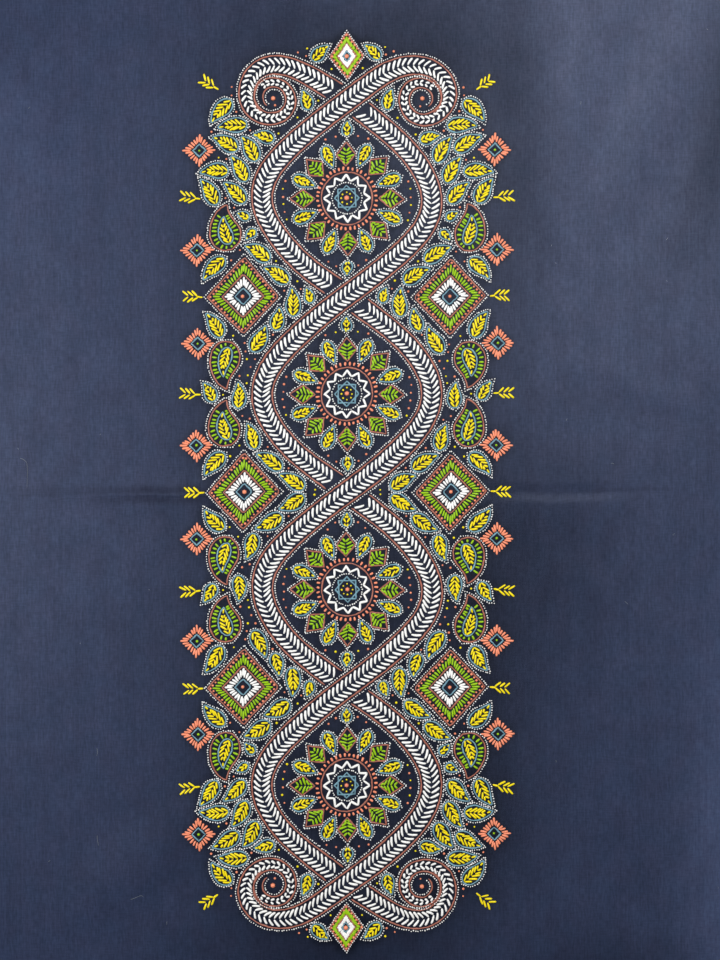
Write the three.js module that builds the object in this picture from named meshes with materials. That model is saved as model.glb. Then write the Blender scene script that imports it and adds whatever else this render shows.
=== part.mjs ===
// A painted cotton panel, one piece of cloth laid face up on a flat surface.
//
// X runs across the panel and Y up it, as the painting is read. Z is up, off
// the surface. The origin lies on the surface, under the middle of the cloth.
//
// The cloth lies flat over most of its area. One crease crosses its middle,
// where it was once folded in half, and it rises in a few broad, shallow swells.
// The cut edge is plain, a little wavy and a little off the grain.

import * as THREE from "three";
import { mergeVertices } from "three/addons/utils/BufferGeometryUtils.js";

// Driving dimensions, in millimetres.
const CLOTH_WIDTH = 406;
const CLOTH_LENGTH = 508;
const CLOTH_THICKNESS = 1;

// The steps of the surface. Rows crowd towards the crease across the middle:
// the share is how far their spacing is drawn in there.
const COLUMNS = 26;
const ROWS = 48;
const ROW_CROWDING = 0.8;

// The cut outline: how far the sides and the ends wave, over what length, and
// how far the panel leans off the grain over its length.
const SIDE_WAVE = { depth: 0.9, length: 310, start: 0.6 };
const END_WAVE = { depth: 0.7, length: 260, start: -1.1 };
const LEAN = 1.4;

// The crease across the middle. It climbs a little towards the right, and its
// crest stands higher in some stretches than in others.
const CREASE = { rise: 1.9, wander: 0.35, wanderLength: 150 };
const CREASE_FOOT = 7.5;
const CREASE_STRETCHES = [
  { from: -150, to: -118, height: 0.35 },
  { from: -128, to: -40, height: 1.15 },
  { from: -60, to: 70, height: 0.8 },
  { from: 48, to: 132, height: 1.3 },
  { from: 112, to: 160, height: 0.4 },
];
const STRETCH_BLEND = 16;

// Broad swells: the middle of each, its half length and half width, the turn of
// its length from X in degrees, and how high it lifts the cloth.
const SWELLS = [
  { x: 128, y: 172, along: 95, across: 34, turn: 68, height: 2.2 },
  { x: -122, y: 120, along: 80, across: 30, turn: 96, height: 1.1 },
  { x: -96, y: -168, along: 62, across: 22, turn: 38, height: 1.0 },
  { x: 138, y: -120, along: 90, across: 32, turn: 84, height: 1.3 },
  { x: -203, y: 254, along: 46, across: 34, turn: -45, height: 2.4 },
  { x: 203, y: -254, along: 52, across: 36, turn: -45, height: 2.0 },
];

const { PI, sin, cos, abs, max, exp, hypot } = Math;

// A soft step from 0 to 1 as t goes from 0 to 1, level at both ends.
function softStep(t) {
  const held = THREE.MathUtils.clamp(t, 0, 1);
  return held * held * (3 - 2 * held);
}

// How far up the panel the crest of the crease lies at x.
function creaseLine(x) {
  const climb = (CREASE.rise * x) / CLOTH_WIDTH;
  return climb + CREASE.wander * sin((2 * PI * x) / CREASE.wanderLength);
}

// The height of the crest at x: each stretch fades in and out at its ends.
function crestHeight(x) {
  let height = 0;
  for (const stretch of CREASE_STRETCHES) {
    const fadeIn = softStep((x - stretch.from) / STRETCH_BLEND);
    const fadeOut = softStep((stretch.to - x) / STRETCH_BLEND);
    height = max(height, stretch.height * fadeIn * fadeOut);
  }
  return height;
}

// The crease in section: a rounded crest that runs out to nothing at its foot.
function creaseLift(x, y) {
  const away = abs(y - creaseLine(x)) / CREASE_FOOT;
  return away < 1 ? crestHeight(x) * (1 - softStep(away)) : 0;
}

function swellLift(swell, x, y) {
  const turn = THREE.MathUtils.degToRad(swell.turn);
  const dx = x - swell.x;
  const dy = y - swell.y;
  const along = (dx * cos(turn) + dy * sin(turn)) / swell.along;
  const across = (dy * cos(turn) - dx * sin(turn)) / swell.across;
  return swell.height * (1 - softStep(hypot(along, across)));
}

// How far the cloth stands off the surface it lies on.
function lift(x, y) {
  let height = creaseLift(x, y);
  for (const swell of SWELLS) height += swellLift(swell, x, y);
  return height;
}

// A place on an even grid, with its row drawn in towards the crease, its edge
// waved, and the rows near the middle following the line of the crease.
function layOut(x, y) {
  const halfWidth = CLOTH_WIDTH / 2;
  const halfLength = CLOTH_LENGTH / 2;
  const share = y / halfLength;
  const row = halfLength * (share * (1 - ROW_CROWDING) + ROW_CROWDING * share ** 3);
  const side = SIDE_WAVE.depth * sin((2 * PI * row) / SIDE_WAVE.length + SIDE_WAVE.start);
  const end = END_WAVE.depth * sin((2 * PI * x) / END_WAVE.length + END_WAVE.start);
  const follow = exp(-((row / (3 * CREASE_FOOT)) ** 2));
  return {
    x: x * (1 + side / halfWidth) + (LEAN * row) / CLOTH_LENGTH,
    y: row * (1 + end / halfLength) + follow * creaseLine(x),
  };
}

function clothGeometry() {
  const flat = new THREE.BoxGeometry(
    CLOTH_WIDTH,
    CLOTH_LENGTH,
    CLOTH_THICKNESS,
    COLUMNS,
    ROWS,
    1,
  );
  flat.translate(0, 0, CLOTH_THICKNESS / 2);
  const points = flat.attributes.position;
  for (let i = 0; i < points.count; i += 1) {
    const place = layOut(points.getX(i), points.getY(i));
    const z = points.getZ(i) + lift(place.x, place.y);
    points.setXYZ(i, place.x, place.y, z);
  }
  flat.deleteAttribute("normal");
  flat.deleteAttribute("uv");
  const whole = mergeVertices(flat);
  whole.computeVertexNormals();
  return whole;
}

function clothMaterial() {
  return new THREE.MeshStandardMaterial({
    color: new THREE.Color(0x3a4460),
    roughness: 0.92,
    metalness: 0,
  });
}

const panel = new THREE.Group();
const cloth = new THREE.Mesh(clothGeometry(), clothMaterial());
cloth.name = "painted_cloth";
panel.add(cloth);

export default panel;
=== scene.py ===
# %% [markdown]
# # A rogan-painted cotton panel
#
# Rogan is a thick, stringy paste of boiled castor oil and ground colour. The
# painter lifts a little of it on a blunt rod and lets it down onto dyed cotton
# as a thread, so each line, dash and dot of the ornament is a small raised bead
# with a round crown. The cloth under it soaks up some of the oil and turns darker.
#
# The panel lies flat and face up. One crease crosses it where it was folded in
# half, and a few soft swells cross the rest.

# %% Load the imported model
import cmath
import math
import random

import bmesh
import bpy
import numpy as np
from mathutils import Matrix, Vector


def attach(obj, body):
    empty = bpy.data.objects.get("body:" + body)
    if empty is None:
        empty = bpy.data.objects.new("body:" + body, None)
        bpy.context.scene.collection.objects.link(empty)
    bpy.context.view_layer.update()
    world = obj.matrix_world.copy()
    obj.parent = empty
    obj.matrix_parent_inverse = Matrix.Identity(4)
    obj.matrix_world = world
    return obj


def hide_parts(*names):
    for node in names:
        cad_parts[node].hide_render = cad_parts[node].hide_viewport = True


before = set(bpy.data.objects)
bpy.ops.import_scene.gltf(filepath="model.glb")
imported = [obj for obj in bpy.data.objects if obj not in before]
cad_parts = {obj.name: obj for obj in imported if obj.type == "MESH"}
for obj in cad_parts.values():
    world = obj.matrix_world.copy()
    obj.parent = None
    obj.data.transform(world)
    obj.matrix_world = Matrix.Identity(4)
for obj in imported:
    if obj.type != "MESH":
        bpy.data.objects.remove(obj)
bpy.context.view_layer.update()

# %% [markdown]
# ## The view
#
# The picture is taken from straight above, and from far enough away that the beads
# near its edges hardly seem to lean. The camera's distance is the height of the view
# times the lens over the sensor. Everything that is drawn on the cloth is worked out
# in millimetres, as a maker would measure it, and turned into metres at the last step.

# %% Camera
MM = 0.001
MM_PER_PIXEL = 0.45
VIEW_PIXELS = (720, 960)
VIEW_MIDDLE = (5.85, 5.4)
LENS = 50
SENSOR = 36
CLOTH_TOP = 0.5


def add_camera():
    data = bpy.data.cameras.new("camera")
    data.lens = LENS
    data.sensor_width = SENSOR
    data.clip_start = 0.01
    camera = bpy.data.objects.new("camera", data)
    distance = VIEW_PIXELS[1] * MM_PER_PIXEL * LENS / SENSOR
    middle = (VIEW_MIDDLE[0], VIEW_MIDDLE[1], CLOTH_TOP + distance)
    camera.location = [size * MM for size in middle]
    bpy.context.scene.collection.objects.link(camera)
    bpy.context.scene.camera = camera
    return distance


print("camera height in mm", add_camera())
bpy.context.scene.view_settings.view_transform = "Standard"

# %% [markdown]
# ## The lie of the cloth
#
# Cloth that has lain on a shelf keeps soft swells. They are given here as heights
# over the flat cloth, so the cloth and the paint on it can rise together. They repeat
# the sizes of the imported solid, and a few faint wrinkles are added to them.

# %% Swells and wrinkles
CLOTH_WIDTH = 406
CLOTH_LENGTH = 508
SWELLS = [
    {"x": 128, "y": 172, "along": 95, "across": 34, "turn": 68, "height": 2.2},
    {"x": -122, "y": 120, "along": 80, "across": 30, "turn": 96, "height": 1.1},
    {"x": -96, "y": -168, "along": 62, "across": 22, "turn": 38, "height": 1.0},
    {"x": 138, "y": -120, "along": 90, "across": 32, "turn": 84, "height": 1.3},
    {"x": -203, "y": 254, "along": 46, "across": 34, "turn": -45, "height": 2.4},
    {"x": 203, "y": -254, "along": 52, "across": 36, "turn": -45, "height": 2.0},
]
WRINKLES = [
    {"from": (-150, 66), "to": (-88, 44), "foot": 9, "height": 0.2},
    {"from": (96, 62), "to": (158, 36), "foot": 10, "height": 0.22},
    {"from": (-146, -58), "to": (-82, -96), "foot": 11, "height": 0.2},
    {"from": (92, -30), "to": (150, -66), "foot": 10, "height": 0.18},
    {"from": (84, 120), "to": (100, 214), "foot": 12, "height": 0.26},
    {"from": (-118, 160), "to": (-96, 216), "foot": 11, "height": 0.22},
    {"from": (100, -206), "to": (150, -150), "foot": 12, "height": 0.22},
]
END_BLEND = 16


def soft_step(t):
    """A soft step from 0 to 1 as t goes from 0 to 1, level at both ends."""
    held = np.clip(t, 0, 1)
    return held * held * (3 - 2 * held)


def between(along, start, end, blend=END_BLEND):
    """1 between start and end, with a soft fade just inside each."""
    return soft_step((along - start) / blend) * soft_step((end - along) / blend)


def soft_spot(spot, x, y):
    """1 at the middle of a long round spot and 0 outside it, with a soft fall."""
    turn = math.radians(spot["turn"])
    dx = x - spot["x"]
    dy = y - spot["y"]
    along = (dx * math.cos(turn) + dy * math.sin(turn)) / spot["along"]
    across = (dy * math.cos(turn) - dx * math.sin(turn)) / spot["across"]
    return 1 - soft_step(np.hypot(along, across))


def wrinkle_lift(fold, x, y):
    """A long soft ridge between two points, fading at its ends."""
    (x0, y0), (x1, y1) = fold["from"], fold["to"]
    length = math.hypot(x1 - x0, y1 - y0)
    ahead = ((x1 - x0) / length, (y1 - y0) / length)
    along = (x - x0) * ahead[0] + (y - y0) * ahead[1]
    away = np.abs((y - y0) * ahead[0] - (x - x0) * ahead[1]) / fold["foot"]
    return fold["height"] * between(along, 0, length) * (1 - soft_step(away))


# %% [markdown]
# A folded cloth that is opened out keeps its crease. It wanders a little, and it
# isn't the same all along. To the left it is a low ridge, with painted shade on both
# sides. To the right it is a groove: the cloth rises softly on either side of a thin
# line of painted shade. Under the ornament the paste has held it nearly flat.

# %% Crease
CREASE_LINE = [
    (-204, -1.7),
    (-140, -1.4),
    (-104, -1.35),
    (-64, -1.3),
    (0, -0.3),
    (66, 0.1),
    (92, -0.4),
    (108, -0.3),
    (124, 0.8),
    (140, 1.2),
    (158, 0.5),
    (204, 0.2),
]
RIDGES = [
    {"start": -122, "end": -48, "height": 0.1, "foot": 1.1},
    {"start": -150, "end": 64, "height": 0.3, "foot": 13},
]
GROOVE = {"start": 44, "end": 140, "above": 0.2, "below": 0.5, "flank": 5, "foot": 22}
# Bands of painted shade along the crease: each one darkens the cloth's colour by its tone.
CREASE_SHADE_BANDS = [
    {"start": -164, "end": -108, "off": 0.0, "half": 1.4, "tone": 0.5},
    {"start": -138, "end": -98, "off": 1.1, "half": 1.5, "tone": 0.8},
    {"start": -174, "end": -60, "off": 2.1, "half": 3.3, "tone": 0.48},
    {"start": -140, "end": -60, "off": -1.8, "half": 3.2, "tone": 0.46},
    {"start": -130, "end": -36, "off": 2.1, "half": 3.7, "tone": 1.25},
    {"start": -130, "end": -36, "off": -2.0, "half": 3.6, "tone": 1.2},
    {"start": 44, "end": 108, "off": 2.0, "half": 3.4, "tone": 0.14},
    {"start": 88, "end": 160, "off": 0.3, "half": 1.7, "tone": 0.48},
    {"start": 116, "end": 158, "off": 0.3, "half": 1.6, "tone": 0.5},
]
BAND_BLEND = 40
CORNER_SHIFTS = (-9, -3, 3, 9)
CREASE_SWAY = 0.12
CREASE_QUIVER = 0.14


def crease_line(x):
    """How far up the crease runs at x: a line through its points, with soft corners."""
    line = 0
    for shift in CORNER_SHIFTS:
        line = line + np.interp(x + shift, *zip(*CREASE_LINE)) / len(CORNER_SHIFTS)
    sway = CREASE_SWAY * np.sin(x / 5.3)
    quiver = CREASE_QUIVER * np.sin(x / 2.1 + 2 * np.sin(x / 9))
    return line + sway + quiver


def crease_lift(x, y):
    away = np.abs(y - crease_line(x))
    height = np.zeros_like(x)
    for ridge in RIDGES:
        along = between(x, ridge["start"], ridge["end"])
        height = height + ridge["height"] * along * (1 - soft_step(away / ridge["foot"]))
    rise = soft_step(away / GROOVE["flank"])
    fall = 1 - soft_step((away - GROOVE["flank"]) / GROOVE["foot"])
    sides = np.where(y > crease_line(x), GROOVE["above"], GROOVE["below"])
    along = between(x, GROOVE["start"], GROOVE["end"], BAND_BLEND)
    return height + sides * along * rise * fall


def painted_crease_shade(x, y):
    """How much painted shade lies along the crease: 0 is none."""
    off = y - crease_line(x)
    tone = np.zeros_like(x)
    for band in CREASE_SHADE_BANDS:
        blend = min(BAND_BLEND, (band["end"] - band["start"]) / 2)
        along = between(x, band["start"], band["end"], blend) * (0.9 + 0.1 * np.sin(x / 2.9))
        across = 1 - soft_step(np.abs(off - band["off"]) / band["half"])
        tone = np.maximum(tone, band["tone"] * along * across)
    return tone


def lift(x, y):
    """How far the cloth stands off the surface at x, y, all in millimetres."""
    x = np.asarray(x, float)
    y = np.asarray(y, float)
    height = crease_lift(x, y)
    for swell in SWELLS:
        height = height + swell["height"] * soft_spot(swell, x, y)
    for fold in WRINKLES:
        height = height + wrinkle_lift(fold, x, y)
    return height


print("highest point of the lift in mm", float(lift([128], [172])[0]))

# %% [markdown]
# ## The pen
#
# The rod makes three kinds of mark: a short dash, a dot and a long line. The
# ornament is first noted down as lists of these marks in millimetres, with the
# middle of the panel at zero, and only then turned into beads. A place on the cloth
# is a complex number, across the panel plus up it, because then turning a motif is
# one multiplication. Motifs that the pattern repeats to the left, right, top and
# bottom are laid again for each copy. No two copies come out the same, because the
# hand drifts by up to half a millimetre over the panel and shakes at each mark.

# %% The pen
PAINTS = ["white", "yellow", "green", "coral", "terracotta", "blue"]
HAND_SHAKE = 0.12
DOT_SHAKE = 0.1
BOW_SHAKE = 0.02
DASH_HEFT = (0.88, 1.1)
DOT_HEFT = (0.82, 1.18)
HEADING_REACH = 0.4
ONCE = [(1, 1)]
LEFT_RIGHT = [(1, 1), (-1, 1)]
TOP_BOTTOM = [(1, 1), (1, -1)]
FOUR_WAYS = [(1, 1), (-1, 1), (1, -1), (-1, -1)]
hand = random.Random(11)


def mirrored(points, way):
    """The points in one of the four quarters, with the hand's slow drift there."""
    x = np.real(points) * way[0]
    y = np.imag(points) * way[1]
    right = 0.3 * np.sin(y / 9.1 + 1.3) + 0.22 * np.sin(x / 7.3 + y / 13.7)
    up = 0.28 * np.sin(x / 8.3 + 0.4) + 0.22 * np.sin(y / 6.7 - x / 11.9)
    return x + right + 1j * (y + up)


def shaken(amount=HAND_SHAKE):
    """A small random step, as an unsteady hand makes."""
    return complex(hand.gauss(0, amount), hand.gauss(0, amount))


class Pen:
    """Notes down the marks of each paint: dashes, dots and lines."""

    def __init__(self):
        self.dashes = {paint: [] for paint in PAINTS}
        self.dots = {paint: [] for paint in PAINTS}
        self.lines = {paint: [] for paint in PAINTS}
        self.ways = ONCE

    def dash(self, paint, start, end, width, bow=0.0):
        for way in self.ways:
            a = mirrored(start, way) + shaken()
            b = mirrored(end, way) + shaken()
            bend = bow * way[0] * way[1] + hand.gauss(0, BOW_SHAKE)
            heft = width * hand.uniform(*DASH_HEFT)
            self.dashes[paint].append((a, b, heft, bend))

    def dot(self, paint, spot, size):
        for way in self.ways:
            place = mirrored(spot, way) + shaken(DOT_SHAKE)
            self.dots[paint].append((place, size * hand.uniform(*DOT_HEFT)))

    def line(self, paint, path, width, closed=False):
        for way in self.ways:
            self.lines[paint].append((mirrored(path, way), width, closed))

    def dotted(self, paint, path, size, pitch, closed=False):
        for spot in walk(path, pitch, closed)[0]:
            self.dot(paint, spot, size)


def walk(path, pitch, closed=False):
    """Points at even steps along a path, and the heading at each."""
    path = np.asarray(path)
    if closed:
        path = np.append(path, path[0])
    runs = np.concatenate([[0], np.cumsum(np.abs(np.diff(path)))])
    steps = max(1, round(runs[-1] / pitch))
    along = np.linspace(0, runs[-1], steps + 1)
    if closed:
        along = along[:-1]
    here = np.interp(along, runs, path.real) + 1j * np.interp(along, runs, path.imag)
    behind = np.clip(along - HEADING_REACH, 0, runs[-1])
    ahead = np.clip(along + HEADING_REACH, 0, runs[-1])
    across = np.interp(ahead, runs, path.real) - np.interp(behind, runs, path.real)
    up = np.interp(ahead, runs, path.imag) - np.interp(behind, runs, path.imag)
    heading = across + 1j * up
    return here, heading / np.abs(heading)


pen = Pen()

# %% [markdown]
# Threads of paste have a width that the rod and the paste settle between them.
# White is the boldest, green and yellow a little finer, and the terracotta and blue
# outlines are the finest. Dots stand close, with a little cloth between them.

# %% Widths of the marks
WHITE_DASH = 1.16
YELLOW_DASH = 1.02
GREEN_DASH = 1.04
CORAL_DASH = 1.1
OUTLINE = 0.8
DOT = 0.76
DOT_PITCH = 1.08
DOT_GAP = 1.1

# %% [markdown]
# ## The interlaced bands
#
# Two bands swing from side to side up the panel and cross over and under each
# other, a very old border pattern. Each band is filled with white herringbone
# between terracotta edges, with a row of white dots outside. Past the last crossing
# each end runs out into a scroll that narrows as it winds in.

# %% Where the bands run
BAND_REACH = 38
BAND_RUN = 88
BAND_HALF = 4.6
LAST_CROSSING = 2
SCROLL_BENDS = [(0, 0.0), (12, 0.004), (28, 0.034), (44, 0.075), (62, 0.085), (118, 0.16)]
SCROLL_END_HALF = 1.9
SWING_POINTS = 1401


def scroll_path():
    """The end of a band after its last crossing, bending ever tighter to the right."""
    length = SCROLL_BENDS[-1][0]
    along = np.linspace(0, length, 2 * length + 1)
    bend = np.interp(along, *zip(*SCROLL_BENDS))
    slope = BAND_REACH * math.pi / BAND_RUN
    first = math.atan2(1, slope)
    heading = first - np.concatenate([[0], np.cumsum(bend[:-1] * np.diff(along))])
    steps = np.exp(1j * heading[:-1]) * np.diff(along)
    start = 1j * LAST_CROSSING * BAND_RUN
    return start + np.concatenate([[0], np.cumsum(steps)])


def band_path(side):
    y = np.linspace(-LAST_CROSSING * BAND_RUN, LAST_CROSSING * BAND_RUN, SWING_POINTS)
    swing = BAND_REACH * np.sin(math.pi * y / BAND_RUN) + 1j * y
    scroll = scroll_path()
    path = np.concatenate([-scroll[:0:-1], swing, scroll[1:]])
    return path if side > 0 else -np.conj(path)


def band_half(path):
    """The band's half width at each point: it narrows along the scrolls."""
    runs = np.concatenate([[0], np.cumsum(np.abs(np.diff(path)))])
    into_scroll = SCROLL_BENDS[-1][0] - np.minimum(runs, runs[-1] - runs)
    share = soft_step(into_scroll / SCROLL_BENDS[-1][0])
    return BAND_HALF + (SCROLL_END_HALF - BAND_HALF) * share


BANDS = {side: band_path(side) for side in (1, -1)}
print("each band is", round(float(np.abs(np.diff(BANDS[1])).sum())), "mm long")

# %% Over and under
CROSSING_REACH = 20
UNDER_GAP = 1.0


def goes_under(side, points):
    """Where a band's marks are hidden, because the other band crosses over it there."""
    points = np.atleast_1d(points)
    other = BANDS[-side]
    hidden = np.zeros(points.shape, bool)
    for crossing in range(-LAST_CROSSING, LAST_CROSSING + 1):
        if side * (-1) ** crossing > 0:
            continue
        middle = 1j * crossing * BAND_RUN
        near = other[np.abs(other - middle) < CROSSING_REACH + 4]
        close = np.abs(points - middle) < CROSSING_REACH
        away = np.abs(points[:, None] - near[None, :]).min(axis=1)
        hidden |= close & (away < BAND_HALF + DOT_GAP + UNDER_GAP)
    return hidden


def visible_runs(path, hidden):
    """The stretches of a path that aren't hidden."""
    runs = []
    run = []
    for point, out in zip(path, hidden):
        if out:
            if len(run) > 2:
                runs.append(np.array(run))
            run = []
        else:
            run.append(point)
    if len(run) > 2:
        runs.append(np.array(run))
    return runs


# %% Ground that a motif covers
covered = []


def cover(outline):
    covered.append(np.asarray(outline))


def circle(spot, radius):
    return spot + radius * np.exp(1j * np.linspace(0, math.tau, 48, endpoint=False))


# %% Drawing a band
HERRINGBONE_PITCH = 2.35
HERRINGBONE_LEAN = 2.7
HERRINGBONE_GAP = 0.3
HERRINGBONE_EDGE = 1.05
HERRINGBONE_BOW = 0.12
LINE_STEP = 1.1
SCROLL_EYE = 2.4


def draw_band(side):
    path = BANDS[side]
    half = band_half(path)
    runs = np.concatenate([[0], np.cumsum(np.abs(np.diff(path)))])
    spots, headings = walk(path, HERRINGBONE_PITCH)
    along = np.linspace(0, runs[-1], len(spots))
    halves = np.interp(along, runs, half)
    for spot, heading, reach in zip(spots, headings, halves):
        if reach < SCROLL_END_HALF + 0.05:
            continue
        lean = HERRINGBONE_LEAN * reach / BAND_HALF
        for left in (1, -1):
            inner = spot + heading * (left * 1j * HERRINGBONE_GAP - lean / 2)
            outer = spot + heading * (left * 1j * (reach - HERRINGBONE_EDGE) + lean / 2)
            if not goes_under(side, [inner, outer]).any():
                pen.dash("white", inner, outer, WHITE_DASH, left * HERRINGBONE_BOW)
    forward = np.gradient(path)
    forward = forward / np.abs(forward)
    for left in (1, -1):
        edge = path + left * 1j * forward * half
        outside = path + left * 1j * forward * (half + DOT_GAP)
        for run in visible_runs(edge, goes_under(side, edge)):
            pen.line("terracotta", walk(run, LINE_STEP)[0], OUTLINE)
        for run in visible_runs(outside, goes_under(side, outside)):
            pen.dotted("white", run, DOT, DOT_PITCH)
    eye = path[-1] - side * 1j * forward[-1] / SCROLL_BENDS[-1][1]
    for middle in (eye, -eye):
        pen.dot("coral", middle, SCROLL_EYE)
        cover(circle(middle, 1.9))


for side in (1, -1):
    draw_band(side)
print("herringbone dashes", len(pen.dashes["white"]))

# %% [markdown]
# ## Motifs
#
# The motifs are old common ones: an eight-pointed star, a stepped diamond, a
# drop with a curled tip and a small leaf. Each is a function that lays its marks at a
# place with a heading, so that one motif serves everywhere at any turn.


# %% Places and simple outlines
class Place:
    """A spot on the cloth, the way a motif points there, and whether it is flipped."""

    def __init__(self, spot, heading=90.0, flipped=False):
        self.spot = spot
        self.turn = cmath.rect(1, math.radians(heading))
        self.flipped = flipped

    def put(self, local):
        local = np.conj(local) if self.flipped else local
        return self.spot + self.turn * local


def corner_points(across, up):
    """The corners of a diamond, from its right one on."""
    return np.array([across, 1j * up, -across, -1j * up])


def filled_in(corners, pitch=1.0):
    """A closed outline with points at even steps along each of its sides."""
    path = []
    for start, end in zip(corners, np.roll(corners, -1)):
        steps = max(1, round(abs(end - start) / pitch))
        path.extend(start + (end - start) * np.arange(steps) / steps)
    return np.array(path)


def drop_spine(length, curl):
    """The middle line of a drop, which turns by curl, in radians, towards its tip."""
    along = np.linspace(0, 1, 25)
    heading = curl * (along**2 - 0.25)
    steps = np.exp(1j * heading[:-1]) * length / (len(along) - 1)
    return np.concatenate([[0], np.cumsum(steps)])


DROP_BELLY = 0.36


def drop_half(share, half):
    """A drop's half width along its length: round at the base, pointed at the tip."""
    share = np.asarray(share, float)
    base = np.sqrt(np.clip(1 - (1 - share / DROP_BELLY) ** 2, 0, 1))
    tail = 1 - np.clip((share - DROP_BELLY) / (1 - DROP_BELLY), 0, 1) ** 1.6
    return half * np.where(share < DROP_BELLY, base, tail)


def drop_outline(length, half, curl, grow=0.0):
    """The outline of a drop, or one that keeps clear of it by grow."""
    spine = drop_spine(length, curl)
    ahead = np.gradient(spine)
    ahead = ahead / np.abs(ahead)
    share = np.linspace(0, 1, len(spine))
    reach = drop_half(share, half)
    left = spine + 1j * ahead * (reach + grow)
    right = spine - 1j * ahead * (reach + grow)
    left[0] = right[0] = spine[0] - ahead[0] * grow
    left[-1] = right[-1] = spine[-1] + ahead[-1] * grow * 1.6
    outline = np.concatenate([left, right[-2:0:-1]])
    return walk(outline, 0.9, closed=True)[0]


# %% Leaf and drop
LEAF_COMB = 1.95
DROP_COMB = 1.9
COMB_RUN = (0.05, 0.8)
COMB_AHEAD = 0.12
COMB_MARGIN = 0.4
COMB_GAP = 0.28
COMB_SLANT = 1.2
COMB_TIP = 0.3
LEAST_REACH = 0.3
CORE_LENGTH = 0.62
CORE_HALF = 0.44
CORE_CURL = 0.7
CORE_TURN = -0.06
DOT_RIM = 1.05
DROP_RIM = 1.2
FAN_PITCH = 1.5
FAN_CLEAR = 0.85
FAN_LEAST = 1.9


def comb(place, length, half, curl, pitch):
    """Pairs of yellow dashes that slant forward from a drop's spine to near its outline."""
    spine = drop_spine(length, curl)
    spots, headings = walk(spine, pitch / 3)
    shares = np.linspace(0, 1, len(spots))
    at = COMB_RUN[0] * length
    while at < COMB_RUN[1] * length:
        i = min(len(spots) - 1, round(at / length * (len(spots) - 1)))
        width = float(drop_half(min(1, shares[i] + COMB_AHEAD), half))
        reach = width - COMB_MARGIN - YELLOW_DASH / 2
        if reach > LEAST_REACH:
            for left in (1, -1):
                start = spots[i] + headings[i] * left * 1j * COMB_GAP
                ahead = reach * COMB_SLANT + COMB_TIP
                end = spots[i] + headings[i] * (left * 1j * reach + ahead)
                pen.dash("yellow", place.put(start), place.put(end), YELLOW_DASH)
        at += pitch
    pen.dash("yellow", place.put(spine[-6]), place.put(spine[-3]), YELLOW_DASH * 0.9)


def leaf(place, length, half, curl):
    """A small drop outlined in blue, with a yellow comb inside and white dots outside."""
    pen.line("blue", place.put(drop_outline(length, half, curl)), OUTLINE, closed=True)
    comb(place, length, half, curl, LEAF_COMB)
    rim = drop_outline(length, half, curl, DOT_RIM)
    pen.dotted("white", place.put(rim), DOT, DOT_PITCH, closed=True)


def large_drop(place, length, half, curl):
    """A drop in two rims, with a fan of green dashes between them and a yellow comb."""
    outer = drop_outline(length, half, curl)
    pen.line("terracotta", place.put(outer), OUTLINE, closed=True)
    rim = drop_outline(length, half, curl, DROP_RIM)
    pen.dotted("white", place.put(rim), DOT, DOT_PITCH, closed=True)
    core_size = (length * CORE_LENGTH, half * CORE_HALF, curl * CORE_CURL)
    spine = drop_spine(length, curl)
    turn = cmath.rect(1, CORE_TURN * curl)
    inner = spine[3] + turn * drop_outline(*core_size)
    pen.line("blue", place.put(inner), OUTLINE, closed=True)
    for spot in walk(inner, FAN_PITCH, closed=True)[0]:
        near = outer[np.abs(outer - spot).argmin()]
        gap = near - spot
        if abs(gap) > FAN_LEAST:
            start = spot + gap / abs(gap) * FAN_CLEAR
            end = near - gap / abs(gap) * FAN_CLEAR
            pen.dash("green", place.put(start), place.put(end), GREEN_DASH)
    core = Place(place.put(spine[3]))
    core.turn = place.turn * (turn.conjugate() if place.flipped else turn)
    core.flipped = place.flipped
    comb(core, *core_size, DROP_COMB)


# %% Star
STAR_RAYS = 8
STAR_RADIUS = 25.6
RAY_START = 14.6
RAY_WIDEST = 19.8
RAY_HALF = 4.3
CHEVRON_PITCH = 1.5
CHEVRON_SLANT = 1.2
CHEVRON_MARGIN = 0.7
STAR_LEAF = (10.8, 2.75)
STAR_EYE = 2.6
EYE_RING = 2.5
EYE_BEAD = 0.95
EYE_BEADS = 8
KNOT = 5.6
DOT_RING = 6.9
ZIGZAG = (7.9, 10.6)
ZIGZAGS = 24
DISC = 11.7
SPOKE = (12.7, 14.0)
SPOKES = 40


def star(spot):
    """An eight-pointed star of green diamonds and yellow drops round a knot of squares."""
    up = Place(spot)
    pen.dot("coral", spot, STAR_EYE)
    for i in range(EYE_BEADS):
        pen.dot("yellow", up.put(cmath.rect(EYE_RING, math.tau * i / EYE_BEADS)), EYE_BEAD)
    for turn in (0, math.pi / 4):
        square = corner_points(KNOT, KNOT) * cmath.rect(1, turn)
        pen.line("blue", up.put(filled_in(square)), OUTLINE, closed=True)
    ring = np.exp(1j * np.linspace(0, math.tau, 60, endpoint=False))
    pen.dotted("white", up.put(ring * DOT_RING), DOT, DOT_PITCH, closed=True)
    for i in range(ZIGZAGS):
        start = cmath.rect(ZIGZAG[(i + 1) % 2], math.tau * i / ZIGZAGS)
        end = cmath.rect(ZIGZAG[i % 2], math.tau * (i + 1) / ZIGZAGS)
        pen.dash("white", up.put(start), up.put(end), WHITE_DASH)
    pen.line("terracotta", up.put(ring * DISC), OUTLINE, closed=True)
    for i in range(SPOKES):
        start, end = (cmath.rect(radius, math.tau * (i + 0.5) / SPOKES) for radius in SPOKE)
        pen.dash("coral", up.put(start), up.put(end), CORAL_DASH)
    for i in range(STAR_RAYS):
        star_ray(Place(spot, 90 + 360 / STAR_RAYS * i))
        slant = 360 / STAR_RAYS * (i + 0.5)
        rim = Place(spot, 90 + slant).put(STAR_RADIUS + 0.4)
        leaf(Place(rim, 270 + slant), *STAR_LEAF, 0.0)


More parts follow.
